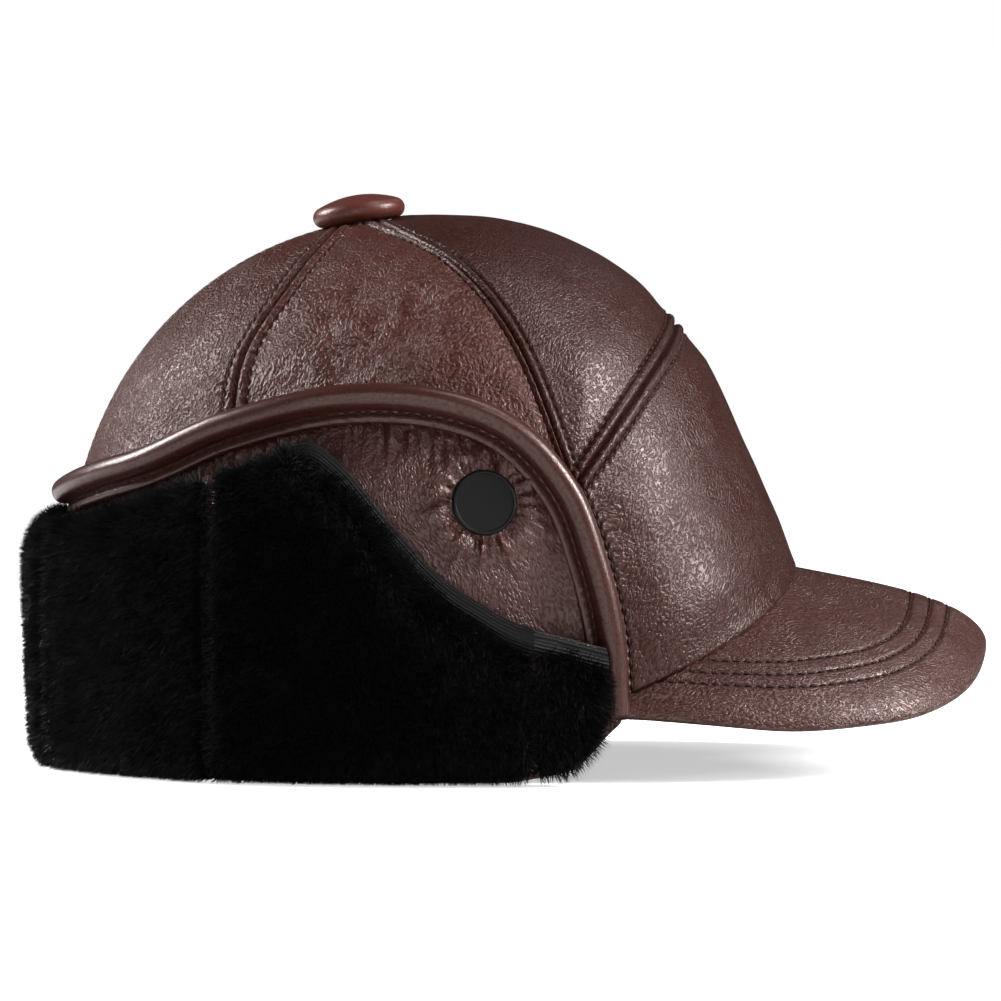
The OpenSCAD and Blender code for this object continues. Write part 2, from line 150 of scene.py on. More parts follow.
# ---- Crown panels ----------------------------------------
# Five panels of pebbled leather and a sloping forehead panel, sewn edge to edge with the edges turned
# under. A row of stitches on each side holds the turned edge flat, and the panel swells between.
MM = 0.001
crown_h, crown_w, crown_back, crown_front = 160.0, 88.0, 108.0, 97.0
leather_t = 1.9
shoulder = 45.0  # height where the dome starts
dome = crown_h - shoulder
crown_centre = np.array([-20.0, 0.0, shoulder])
forehead_break = 118.0  # height of the forehead panel's top
forehead_slope = 0.4526
end_power, side_power = 2.2, 2.35  # how square the dome's outline is, along and across
foot_tuck = 3.0


def lerp(a, b, t):
    return a + (b - a) * t


def spline(points, t):
    """Smooth curve through the points, at shares t of its way."""
    p = np.asarray(points, float)
    n = len(p) - 1
    p = np.vstack([2 * p[0] - p[1], p, 2 * p[n] - p[n - 1]])
    s = np.clip(np.asarray(t, float), 0, 1) * n
    i = np.minimum(np.floor(s).astype(int), n - 1)
    f = (s - i)[..., None]
    a, b, c, d = p[i], p[i + 1], p[i + 2], p[i + 3]
    return 0.5 * (2 * b + (c - a) * f + (2 * a - 5 * b + 4 * c - d) * f ** 2
                  + (3 * b - a - 3 * c + d) * f ** 3)


def flip(points):
    return np.asarray(points, float) * [1, -1, 1]


def mirrored(points):
    return np.vstack([points, flip(points)[-2::-1]])


def taper(t, n):
    return np.maximum(0, 1 - np.clip(t, 0, 1) ** n) ** (1 / n)


def level(p):
    """1 on the crown's surface, less inside and more outside."""
    x, y, z = p[..., 0], p[..., 1], p[..., 2]
    rise = (z - shoulder) / dome
    tuck = np.where(z < shoulder, foot_tuck * (1 - z / shoulder) ** 2, 0.0)
    slope_x = crown_front * taper((forehead_break - shoulder) / dome, end_power)
    slope_x = slope_x + forehead_slope * (forehead_break - z)
    front = np.where(z > forehead_break, crown_front * taper(rise, end_power), slope_x)
    length = np.where(x > crown_centre[0], front, crown_back * taper(rise, end_power) - tuck)
    width = crown_w * taper(rise, side_power) - tuck
    inside = np.hypot((x - crown_centre[0]) / np.maximum(length, 0.01), y / np.maximum(width, 0.01))
    return np.where(z >= crown_h, 9.0, inside)


def crossing(is_out, low, high, halvings):
    """Where is_out turns true between low and high."""
    for _ in range(halvings):
        middle = (low + high) / 2
        out = is_out(middle)
        low, high = np.where(out, low, middle), np.where(out, middle, high)
    return (low + high) / 2


def on_crown(p):
    """Moves points onto the crown, straight away from its centre."""
    way = p - crown_centre
    way = way / np.linalg.norm(way, axis=-1, keepdims=True)
    nearest, farthest = np.full(p.shape[:-1], 20.0), np.full(p.shape[:-1], 190.0)
    reach = crossing(lambda r: level(crown_centre + r[..., None] * way) > 1, nearest, farthest, 24)
    return crown_centre + reach[..., None] * way


def outward(p):
    h = 0.4
    steps = np.eye(3) * h
    g = np.stack([level(p + s) - level(p - s) for s in steps], -1)
    g[..., 2] = np.where(p[..., 2] > crown_h - 0.8, 1.0, g[..., 2])
    return g / np.linalg.norm(g, axis=-1, keepdims=True)


def skin(p, d):
    q = on_crown(np.asarray(p, float))
    return q + np.asarray(d, float)[..., None] * outward(q)


def joined(*coordinates):
    """Points from arrays of coordinates."""
    return np.stack(np.broadcast_arrays(*coordinates), -1)


def rumple(points, size, seed):
    """Smooth noise from -1 to 1 over points in millimetres, with lumps of about that size."""
    flat = points.reshape(-1, 3) / size + seed
    return np.array([noise.noise(Vector(v)) for v in flat]).reshape(points.shape[:-1])


temple = [19, -76.6, 82.5]  # foot of the front seam
ear_back = [-76.5, -65, 102.3]  # foot of the back seam
nape = [-125, 0, 82.5]
brim_corner = [33.8, -78.6, 23.5]
back_seam = [[-47.6, -9, 157], [-52, -28, 152], [-62, -46, 139], [-73.5, -57, 119], ear_back]
front_seam = [[-38, -11, 158], [-29, -34, 154], [-13, -51.5, 144.5], [3, -66.5, 124], [14, -75, 98], temple]
front_edge = [temple, [22.8, -76.7, 74], [26.8, -77, 63], [31.8, -77.2, 42], brim_corner]
forehead_top = [temple, [34, -61, 103.3], [48, -30, 123.5], [50.5, 0, 129.5]]
brim_joint = [brim_corner, [49, -71, 30.3], [66, -57.2, 39.3], [77.5, -39.5, 47.8], [83.3, -20, 54.2],
              [85.3, 0, 57.6]]
ear_arch = [brim_corner, [31.8, -77.2, 42], [26.8, -77, 63], temple, [4, -77, 99.5], [-16, -77.5, 108.3],
            [-44, -74.5, 109.8], ear_back, [-104, -45.5, 90], nape]
centre_back = [[-52, 0, 156.5], [-72, 0, 150], [-98, 0, 128], [-117, 0, 102], nape]
back_rim = [ear_back, [-93, -56, 95.5], [-109, -41, 88], [-121, -21, 84], nape]
side_rim = [temple, [5, -77, 98.8], [-14, -77.6, 107.6], [-38, -75.5, 110], [-60, -70.5, 106.6], ear_back]
full_joint = mirrored(np.array(brim_joint, float))
full_arch = mirrored(np.array(ear_arch, float))
seam_stitch = 3.8  # from a seam to its row of stitches
edge_stitch = 2.6  # from the forehead's edge at the roll to its stitches
stitch_pitch = 3.1
panel_swell, swell_reach = 1.1, 9.0  # height between the seams, and how far from them it takes
soft_reach = 8.0  # from a seam to where the padding shows in full


def closer_at_ends(steps):
    """Shares from 0 to 1 that stand closer together at both ends."""
    even = np.linspace(0, 1, steps + 1)
    return lerp(even, 0.5 - 0.5 * np.cos(np.pi * even), 0.55)


def patch(left, right, top, bottom, rows, cols):
    """Points between four edges, before they are laid on the crown."""
    t = closer_at_ends(rows)[:, None, None]
    s = closer_at_ends(cols)[None, :, None]
    tv, sv = t[:, 0, 0], s[0, :, 0]
    top, bottom = np.asarray(top, float), np.asarray(bottom, float)
    sides = lerp(spline(left, tv)[:, None, :], spline(right, tv)[:, None, :], s)
    return (sides + (1 - t) * (spline(top, sv)[None] - lerp(top[0], top[-1], s[0])[None])
            + t * (spline(bottom, sv)[None] - lerp(bottom[0], bottom[-1], s[0])[None]))


def run_lengths(grid, axis):
    """Length along a grid from its start to each point, down its columns (0) or along its rows (1)."""
    steps = np.linalg.norm(np.diff(grid, axis=axis), axis=-1)
    start = np.zeros_like(np.take(steps, [0], axis=axis))
    return np.cumsum(np.concatenate([start, steps], axis=axis), axis=axis)


def hump(distance, width):
    """1 at no distance, falling to nothing over a few widths."""
    return np.exp(-(distance / width) ** 2)


def sewn_edge(e, along, stitch):
    """Height of the leather at a distance e from a seam: turned edge, raised strip, stitch channel."""
    turned = -1.3 * hump(e, 0.6)
    if not stitch:
        return turned
    strip = 0.75 * hump(e - stitch * 0.48, stitch * 0.34)
    channel = -0.8 * hump(e - stitch, 0.48)
    pull = 0.42 * np.cos(2 * np.pi * along / stitch_pitch) * hump(e - stitch, 1.3)
    return turned + strip + channel + pull


def soft_shape(points):
    """The slow hollows and bumps that padding gives the leather."""
    return 0.55 * rumple(points, 34.0, 3.1) + 0.3 * rumple(points, 13.0, 8.7)


def mesh_object(name, points, faces, smooth_angle=50):
    """A piece from points in millimetres. Its place is in its mesh."""
    mesh = bpy.data.meshes.new(name)
    places = np.asarray(points, float).reshape(-1, 3) * MM
    mesh.from_pydata(places.tolist(), [], [list(face) for face in faces])
    build = bmesh.new()
    build.from_mesh(mesh)
    bmesh.ops.recalc_face_normals(build, faces=build.faces)
    build.to_mesh(mesh)
    build.free()
    mesh.polygons.foreach_set("use_smooth", [True] * len(mesh.polygons))
    mesh.set_sharp_from_angle(angle=math.radians(smooth_angle))
    return new_object(name, mesh)


def closed_sheet(name, outer, inner, smooth_angle=50):
    """A solid sheet between two grids of points, closed round its border."""
    rows, cols = outer.shape[:2]
    count = rows * cols
    index = np.arange(count).reshape(rows, cols)
    quads = np.stack([index[:-1, :-1], index[:-1, 1:], index[1:, 1:], index[1:, :-1]], -1).reshape(-1, 4)
    border = np.concatenate([index[0, :], index[1:, -1], index[-1, -2::-1], index[-2:0:-1, 0]])
    nxt = np.roll(border, -1)
    wall = np.stack([nxt, border, border + count, nxt + count], -1)
    faces = np.vstack([quads, quads[:, ::-1] + count, wall])
    return mesh_object(name, np.vstack([outer.reshape(-1, 3), inner.reshape(-1, 3)]), faces, smooth_angle)


def finish_piece(piece, material, slot, body, *nodes):
    piece.data.materials.clear()
    piece.data.materials.append(material)
    if nodes:
        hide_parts(*nodes)
    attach(piece, body)


def principled(add, inputs):
    """Ends a material in one principled surface."""
    add("ShaderNodeOutputMaterial", {"Surface": add("ShaderNodeBsdfPrincipled", inputs)})


def leather_material(name, colour, pebble=1.0, lean=0.0, stretch=2.2, gloss=0.33, depth=1.0, shine=0.6,
                     hollow_shade=0.5, crease=0.5):
    """Full-grain leather: rows of soft grain, thin creases, pores and slow tones. Pebble is the grain's size,
    drawn out by stretch along a lean from upright. The colour of its low parts is scaled down, a painted
    shade in the grain's hollows, and gloss roughens it."""
    material, add = new_material(name)
    place = add("ShaderNodeTexCoord")["Object"]

    def cloud(source, scale, detail):
        return add("ShaderNodeTexNoise", {"Vector": source, "Scale": scale, "Detail": detail})

    def ramp(source, low, high, to_low, to_high):
        span = {"From Min": low, "From Max": high, "To Min": to_low, "To Max": to_high}
        return add("ShaderNodeMapRange", {"Value": source, **span}, interpolation_type="SMOOTHSTEP")

    def combine(operation, first, second=0.0):
        return add("ShaderNodeMath", {0: first, 1: second}, operation=operation)

    def mix(share, first, second, **settings):
        return add("ShaderNodeMixRGB", {"Fac": share, "Color1": first, "Color2": second}, **settings)

    def shade(factor):
        return (*[c * factor for c in colour], 1)

    bent = mix(0.006, place, cloud(place, 45.0, 2.0)["Color"], blend_type="LINEAR_LIGHT")
    along = add("ShaderNodeMapping", {"Vector": bent, "Rotation": (0.0, math.radians(lean), 0.0),
                                      "Scale": (1.0, 1.0, stretch)}, vector_type="TEXTURE")
    rows = ramp(cloud(along, 1000.0 / pebble, 1.5)["Fac"], 0.36, 0.62, 0.0, 1.0)
    lines = combine("ABSOLUTE", combine("SUBTRACT", cloud(along, 620.0 / pebble, 2.5)["Fac"], 0.5))
    creased = ramp(lines, 0.0, 0.05, 0.0, 1.0)
    grain = combine("ADD", combine("MULTIPLY", rows, 1.0 - crease), combine("MULTIPLY", creased, crease))
    pores = combine("MULTIPLY", cloud(along, 2600.0 / pebble, 2.0)["Fac"], 0.35)
    worn = ramp(cloud(place, 60.0, 3.0)["Fac"], 0.35, 0.65, 0.85, 1.0)
    height = combine("ADD", combine("MULTIPLY", grain, worn), pores)
    tone = mix(cloud(place, 30.0, 4.0)["Fac"], shade(0.88), shade(1.1))
    # The grain's low parts take a darker colour: painted shade in its hollows.
    principled(add, {"Base Color": mix(grain, shade(hollow_shade), tone),
                     "Roughness": ramp(grain, 0.0, 1.0, gloss + 0.06, gloss),
                     "Specular IOR Level": ramp(grain, 0.0, 0.8, 0.5 * shine, shine),
                     "Specular Tint": (1.0, 0.83, 0.8, 1),
                     "Normal": add("ShaderNodeBump", {"Distance": 0.00024 * depth, "Height": height})})
    return material


crown_leather = leather_material("crown_leather", (0.066, 0.0128, 0.0081), pebble=0.85, stretch=1.6,
                                 depth=1.35, shine=0.5, hollow_shade=0.4, crease=0.25)
forehead_leather = leather_material("forehead_leather", (0.037, 0.0079, 0.0053), pebble=0.7, lean=40.0,
                                    depth=0.55, shine=0.5, crease=0.1)


def crown_panel(name, left, right, top, bottom, rows, cols, stitches, material, front_ridges=0.0):
    """A panel between four edges. Stitches holds each edge's distance to its stitches, 0 or None."""
    laid = on_crown(patch(left, right, top, bottom, rows, cols))
    out = outward(laid)
    down, along = run_lengths(laid, 0), run_lengths(laid, 1)
    # Distances from the left, right, top and bottom edge
    edges = along, along[:, -1:] - along, down, down[-1:] - down
    height, nearest = 0.0, np.full(laid.shape[:-1], 1e3)
    for e, way, stitch in zip(edges, (down, down, along, along), stitches):
        if stitch is not None:
            height = height + sewn_edge(e, way, stitch)
            nearest = np.minimum(nearest, e)
    height = height + panel_swell * (1 - hump(np.maximum(nearest - seam_stitch, 0), swell_reach))
    height = height + soft_shape(laid) * np.clip(nearest / soft_reach, 0, 1)
    for e in edges[:2] if front_ridges else ():
        ridge = rumple(joined(down, e * 0.25, 0.0), 1.7, 5.5)
        height = height + front_ridges * ridge * hump(e, 3.6)
    piece = closed_sheet("sewn_" + name, laid + height[..., None] * out, laid - leather_t * out)
    finish_piece(piece, material, "crown_leather", "root", name)


button_side_tip = [[-38, -11, 158], [-43, -11, 158], [-47.6, -9, 157]]
button_back_tip = [[-47.6, -9, 157], [-51.4, -4.5, 157], [-52, 0, 156.5]]
button_front_tip = [[-38, 11, 158], [-33.2, 5.6, 159], [-32, 0, 159], [-33.2, -5.6, 159], [-38, -11, 158]]
sewn = (seam_stitch, seam_stitch, None, 0)
both_sides = (("right", np.asarray), ("left", flip))
forehead_seam = mirrored(flip(forehead_top))
for side, turn in both_sides:
    front, back, middle = turn(front_seam), turn(back_seam), turn(centre_back)
    crown_panel("side_panel_" + side, front, back, turn(button_side_tip), turn(side_rim), 150, 120, sewn,
                crown_leather)
    crown_panel("back_panel_" + side, back, middle, turn(button_back_tip), turn(back_rim), 150, 110, sewn,
                crown_leather)
crown_panel("top_front_panel", flip(front_seam), front_seam, button_front_tip, forehead_seam, 150, 190,
            (seam_stitch, seam_stitch, None, seam_stitch), forehead_leather)
crown_panel("forehead_panel", flip(front_edge), front_edge, forehead_seam, mirrored(flip(brim_joint)),
            150, 240, (edge_stitch, edge_stitch, seam_stitch, 0), forehead_leather, front_ridges=0.5)

# ---- Crown button ----------------------------------------
# A flat dome covered in smooth leather. It sits on the point where the panels meet, riveted through.
button_r, button_side, button_rise = 13.6, 3.2, 2.5
button_seat = on_crown(np.array([[-42.0, 0.0, 158.0]]))[0]
lathe_steps = 96


def tube_faces(index):
    """Faces between rings of points, each ring closed on itself."""
    turned = np.roll(index, -1, 1)
    return np.stack([index[:-1], turned[:-1], turned[1:], index[1:]], -1).reshape(-1, 4).tolist()


def lathe(name, profile, seat, facing, smooth_angle=50):
    """A turned piece: its profile is radius and height from the axis at the bottom to the axis at the top."""
    r, z = np.asarray(profile, float).T
    angle = np.arange(lathe_steps) * 2 * np.pi / lathe_steps
    ring = joined(r[1:-1, None] * np.cos(angle), r[1:-1, None] * np.sin(angle), z[1:-1, None])
    points = np.vstack([ring.reshape(-1, 3), [[0, 0, z[0]], [0, 0, z[-1]]]])
    tilt = Vector((0, 0, 1)).rotation_difference(Vector(facing))
    points = points @ np.array(tilt.to_matrix()).T + seat
    index = np.arange((len(r) - 2) * lathe_steps).reshape(-1, lathe_steps)
    low, high = len(points) - 2, len(points) - 1
    faces = tube_faces(index)
    faces += [(low, b, a) for a, b in zip(index[0], np.roll(index[0], -1))]
    faces += [(high, a, b) for a, b in zip(index[-1], np.roll(index[-1], -1))]
    return mesh_object(name, points, faces, smooth_angle)


side_turn = np.radians(np.linspace(-80, 62, 18))
side_round = [(button_r - button_side + button_side * math.cos(a), button_side + 3.1 * math.sin(a))
              for a in side_turn]
top_r, top_z = side_round[-1]
dome_shares = np.linspace(1, 0, 16)[1:-1]
top_dome = [(share * top_r, top_z + button_rise * (1 - share ** 2)) for share in dome_shares]
button_profile = [(0, 0.2), (button_r - 3.4, 0.0), *side_round, *top_dome, (0, top_z + button_rise)]
button = lathe("covered_button", button_profile, button_seat, outward(button_seat[None])[0])
smooth = {"pebble": 0.8, "stretch": 1.0, "depth": 0.12, "hollow_shade": 0.8}
button_leather = leather_material("button_leather", (0.095, 0.0225, 0.0155), **smooth, gloss=0.34)
finish_piece(button, button_leather, "button_leather", "root", "crown_button")

# ---- Rolled edge -----------------------------------------
# A soft leather roll along the crown's lower edge, from the brim's corner over the ear to the nape.
# Its flange lies under the ear opening's edge and is stitched down beside the roll.
roll_steps = 360
roll_r = 3.7
roll_inset = 3.4  # from the ear opening's edge to the roll's middle
roll_stitch = 4.1  # from the roll's middle to its stitches
nape_lift = 2.2  # the roll leaves the crown a little towards the nape
roll_turn = np.radians(np.linspace(206, -26, 34))
flange = [[3.65, 0.2], [3.95, -0.05], [4.3, 0.15], [4.9, 0.35], [5.8, 0.3], [6.5, 0.05], [6.85, -0.4],
          [6.8, -1.2], [6.2, -2.2], [3.0, -2.2], [-2.2, -1.5], [-3.3, -0.4]]
roll_round = joined(roll_r * np.cos(roll_turn), 2.5 + roll_r * np.sin(roll_turn))
roll_loop = np.vstack([roll_round, flange])


def unit(v):
    return v / np.linalg.norm(v, axis=-1, keepdims=True)


def along_path(path):
    return unit(np.gradient(path, axis=0))


def tube(name, loops, smooth_angle=50):
    """A solid from closed loops of points, one after the other, with flat ends."""
    index = np.arange(loops.shape[0] * loops.shape[1]).reshape(loops.shape[:2])
    faces = tube_faces(index) + [index[0].tolist(), index[-1, ::-1].tolist()]
    return mesh_object(name, loops.reshape(-1, 3), faces, smooth_angle)


def rolled_edge(side, turn):
    share = np.linspace(0, 1, roll_steps + 1)
    arch = spline(full_arch, share / 2)
    base = on_crown(arch + roll_inset * unit(np.cross(outward(on_crown(arch)), along_path(arch))))
    up = outward(base)
    base = base + (nape_lift * share ** 4)[:, None] * up
    base = np.vstack([base[:1] + 4 * unit(base[0] - base[4]), base])
    up = np.vstack([up[:1], up])
    across = unit(np.cross(up, along_path(base)))
    length = run_lengths(base[None], 1)[0]
    on_line = joined(length, 0.0, 0.0)
    out, height = roll_loop.T
    height = np.repeat(height[None], len(base), 0)
    ripple = 0.3 * rumple(on_line, 2.4, 2.0)[:, None] * hump(out - 4.6, 2.2)
    pull = 0.12 * np.cos(2 * np.pi * length / stitch_pitch)[:, None] * hump(out - roll_stitch, 1.1)
    sway = 0.25 * rumple(on_line, 26.0, 5.5)[:, None]
    height = height + (ripple + pull + sway) * np.clip((height + 1.5) / 2, 0, 1)
    path, across_it, up_it = (turn(v)[:, None] for v in (base, across, up))
    loops = path + out[:, None] * across_it + height[..., None] * up_it
    piece = tube("leather_roll_" + side, loops)
    finish_piece(piece, smooth_leather, "edge_leather", "root", "rolled_edge_" + side)
    return base, across, up


smooth_leather = leather_material("smooth_leather", (0.043, 0.0108, 0.0075), **smooth, gloss=0.3, shine=0.7)
roll_base, roll_across, roll_up = rolled_edge("right", np.asarray)
rolled_edge("left", flip)

# ---- Brim ------------------------------------------------
# A stiff board between two leathers. The upper leather wraps round the edge and is stitched under it,
# and three rows of stitches follow the edge on top.
brim_t = 4.2
hide_t = 1.1  # each of the brim's leathers
brim_outer = [[30, -82.4, 20], [58, -84.3, 17.3], [81, -81.4, 15.2], [101, -74, 15.9], [118, -62.5, 17.8],
              [130.5, -46.5, 22.2], [138, -27, 28.4], [141.6, 0, 35.4]]
full_brim = mirrored(np.array(brim_outer, float))
brim_end = 0.998
brim_lift = 11.5
row_insets = (14.1, 19.3, 25.0)  # from the edge to each row of stitches
row_front_shift = 1.6  # what the front adds to that
row_channel = 0.65  # depth and half width of the channel under a row


def brim_point(across, s):
    across, s = np.broadcast_arrays(np.asarray(across, float), np.asarray(s, float))
    base = lerp(spline(full_joint, across), spline(full_brim, across), s[..., None])
    middle = 1 - np.abs(2 * across - 1) ** 3
    base[..., 2] += middle * brim_lift * (s - 1 + np.sqrt(np.maximum(0, 1 - s ** 4)))
    return base


def brim_normal(across, s):
    h = 0.004
    da = brim_point(across + h, s) - brim_point(across - h, s)
    ds = brim_point(across, s + h) - brim_point(across, s - h)
    n = unit(np.cross(da, ds))
    return np.where(n[..., 2:] < 0, -n, n)


edge_line = brim_point(np.linspace(0, 1, 1200), 1.0)
edge_tree = kdtree.KDTree(len(edge_line))
for k, point in enumerate(edge_line):
    edge_tree.insert(Vector(point), k)
edge_tree.balance()


def inset(points):
    """Distance of each point on the brim from the brim's edge."""
    away = [edge_tree.find(Vector(q))[2] for q in points.reshape(-1, 3)]
    return np.array(away).reshape(points.shape[:-1])


def soft_brim(points):
    """The slow hollows and bumps of the brim's leather."""
    return 0.3 * rumple(points, 30.0, 4.4)


def row_inset(row, across):
    """Distance from the edge to a row of stitches, a little more at the front."""
    return row_insets[row] + row_front_shift * np.clip((0.5 - np.abs(across - 0.5) - 0.2) / 0.12, 0, 1)


brim_across = np.linspace(0.0, 1.0, 341)[None, :]
brim_out = lerp(-0.02, brim_end, 1 - (1 - np.linspace(0, 1, 115)) ** 1.5)[:, None]
top_grid = brim_point(brim_across, brim_out)
top_up = brim_normal(brim_across, np.clip(brim_out, 0.01, brim_end))
top_inset = inset(top_grid)
top_height = soft_brim(top_grid)
for row in range(len(row_insets)):
    top_height = top_height - row_channel * hump(top_inset - row_inset(row, brim_across), row_channel)
top_grid = top_grid + top_height[..., None] * top_up
top_edge, edge_up = top_grid[-1], top_up[-1]
edge_out = unit(np.cross(edge_up, np.gradient(top_edge, axis=0)))
points_in = (edge_out * (top_edge - [60, 0, 30])).sum(-1, keepdims=True) < 0
edge_out = np.where(points_in, -edge_out, edge_out)
edge_profile = np.array([[0.0, 0.0], [0.45, -0.05], [0.8, -0.28], [0.98, -0.65], [1.15, -1.2], [1.25, -1.9],
                         [1.22, -2.6], [1.05, -3.2], [0.7, -3.75], [0.2, -4.1], [-0.4, -4.2]])
bulge, drop = edge_profile[:, 0, None, None], edge_profile[:, 1, None, None]
wrap = top_edge + bulge * edge_out + drop * edge_up
under_in = wrap[-1] - np.array([2.0, 4.0, 6.0])[:, None, None] * edge_out
inside_wrap = top_edge + (bulge - 1.0) * edge_out + lerp(-brim_t / 2, drop, 0.6) * edge_up
brim_outside = np.vstack([top_grid, wrap, under_in])
brim_inside = np.vstack([top_grid - hide_t * top_up, inside_wrap, under_in + 1.0 * edge_up])
brim_top = closed_sheet("brim_upper", brim_outside, brim_inside, 60)
brim_leather = leather_material("brim_leather", (0.053, 0.0115, 0.0077), pebble=0.6, lean=80.0, depth=0.75,
                                shine=0.9, hollow_shade=0.6, crease=0.1)
finish_piece(brim_top, brim_leather, "brim_leather", "root", "brim_top_leather")

under_out = np.linspace(0.0, brim_end - 0.05, 26)[:, None]
under_grid = brim_point(brim_across, under_out)
under_grid = under_grid - (brim_t - 1.3) * brim_normal(brim_across, np.clip(under_out, 0.01, 1))
under_up = brim_normal(brim_across, np.clip(under_out, 0.01, brim_end))
brim_under = closed_sheet("brim_lower", under_grid, under_grid - hide_t * under_up)
under_leather = leather_material("under_leather", (0.06, 0.019, 0.013), pebble=1.2, depth=0.5, gloss=0.45)
finish_piece(brim_under, under_leather, "under_leather", "root", "brim_under_leather")


def plain_material(name, colour, roughness, specular=0.5, metallic=0.0):
    material, add = new_material(name)
    principled(add, {"Base Color": (*colour, 1), "Roughness": roughness, "Specular IOR Level": specular,
                     "Metallic": metallic})
    return material


board = closed_sheet("stiff_board", under_grid + 2.1 * under_up, under_grid + 0.4 * under_up)
board_card = plain_material("board_card", (0.03, 0.03, 0.034), 0.8)
finish_piece(board, board_card, "board", "root", "brim_board")

# ---- Ear and nape panels ---------------------------------
# Smooth leather let in under the rolled edge. It gathers along the roll and puckers round the disc.
band_drop = 2.2
band_t = 1.2
band_start = 0.31
band_over = 7.0  # how far the panels reach up under the crown's leather
hidden = 12.0  # depth of what the crown and the roll cover
lowest = 0.2  # the panels stay above the table
rim_row = 8  # the row of a panel along which its gathers are spaced
ear_cols, half_nape_cols = 260, 80
disc_seat = skin(np.array([[-5.6, -82.7, 78.0]]), -band_drop)[0]


def rim(t, side):
    """Lower edge of the crown at shares from 0 at the front to 1 at the centre back."""
    t = np.asarray(t, float)
    front = spline(full_joint, 0.5 - 0.5 * t / 0.3)
    back = spline(full_arch, 0.5 * (t - 0.3) / 0.7)
    return np.where((t < 0.3)[..., None], front, back) * np.array([1, 1 if side == "right" else -1, 1])


def band_low(x):
    return np.interp(x, [-30, -1, 13, 19, 25, 34], [0, 2.6, 4.3, 5.6, 11, 19])


def band_points(shares, side, down):
    """Rows down the band from above the rim to its lower edge, before they are laid on the crown."""
    x, y, z = np.moveaxis(rim(shares, side)[None], -1, 0)
    low = band_low(x)
    return joined(x, y, lerp(z + band_over, low, down[:, None])), low


def gathers(arc, inward, seed):
    """Short creases that run inward from a sewn edge and fade out."""
    coarse = rumple(joined(arc, inward * 0.14, 0.0), 1.7, seed)
    fine = rumple(joined(arc, inward * 0.35, 0.0), 0.85, seed + 7)
    return (1.7 * coarse + 0.7 * fine) * np.exp(-np.maximum(inward - 6.0, 0) / 5.5)


def round_disc(laid, seat):
    """Creases that run out from under the disc, on a low ring of padding, and a flat place for the disc."""
    away = laid - seat
    near = np.linalg.norm(away, axis=-1)
    angle = np.arctan2(away[..., 2], away[..., 0] * np.sign(seat[1]))
    ring = joined(np.cos(angle) * 10, np.sin(angle) * 10, near * 0.08)
    pucker = rumple(ring, 1.25, 11.0) + 0.5 * rumple(ring, 0.6, 17.0)
    fade = np.exp(-np.maximum(near - 11.0, 0) / 6.0) * np.clip((near - 8.6) / 1.8, 0, 1)
    return 1.9 * pucker * fade + 1.0 * hump(near - 13.0, 4.0) - 1.6 * np.exp(-(near / 10.8) ** 6)


def band_panel(name, shares, sides, rows):
    columns = [band_points(np.array([t]), side, np.linspace(0, 1, rows)) for t, side in zip(shares, sides)]
    flat = np.concatenate([c[0] for c in columns], 1)
    laid = skin(flat, -band_drop)
    laid[-1, :, 2] = np.concatenate([c[1] for c in columns], 1)[0]
    out = outward(on_crown(flat))
    arc = run_lengths(laid, 1)[rim_row][None]
    inward = np.maximum(run_lengths(laid, 0) - hidden, 0)
    height = 0.5 * rumple(laid, 22.0, 6.0) + 0.95 * gathers(arc, inward, 3.0)
    height = height + round_disc(laid, disc_seat) + round_disc(laid, flip(disc_seat))
    height = height + 1.8 * hump(inward - 22, 13)
    outer = laid + (height * np.clip(inward / 2.5, 0, 1))[..., None] * out
    inner = laid - band_t * out
    for sheet in (outer, inner):
        sheet[..., 2] = np.maximum(sheet[..., 2], lowest)
    piece = closed_sheet("gathered_" + name, outer, inner)
    finish_piece(piece, band_leather, "band_leather", "root", name)


band_leather = leather_material("band_leather", (0.046, 0.0118, 0.0084), pebble=0.7, lean=-20.0, depth=0.75,
                                shine=0.85, hollow_shade=1.0, crease=0.1)
ear_shares = lerp(band_start, 1.0, np.linspace(0, 0.75, ear_cols))
nape_shares = lerp(band_start, 1.0, 1 - np.abs(np.linspace(-0.25, 0.25, 2 * half_nape_cols + 1)))
for side, _ in both_sides:
    band_panel("ear_panel_" + side, ear_shares, [side] * ear_cols, 140)
band_panel("nape_panel", nape_shares, ["right"] * (half_nape_cols + 1) + ["left"] * half_nape_cols, 80)

# ---- Stitches --------------------------------------------
# Brown thread in rows beside every seam, along the rolled edge, and three times round the brim. Each
# stitch is a short thread whose ends dip into the leather.
def new_group(name, inputs, output):
    """A geometry node group with named inputs, each a kind and a value, and one geometry output."""
    group = bpy.data.node_groups.new(name, "GeometryNodeTree")
    for label, (kind, value) in inputs.items():
        socket = group.interface.new_socket(name=label, in_out="INPUT", socket_type="NodeSocket" + kind)
        if value is not None:
            socket.default_value = value
    group.interface.new_socket(name=output, in_out="OUTPUT", socket_type="NodeSocketGeometry")
    add = node_adder(group)
    return group, add, add("NodeGroupInput")


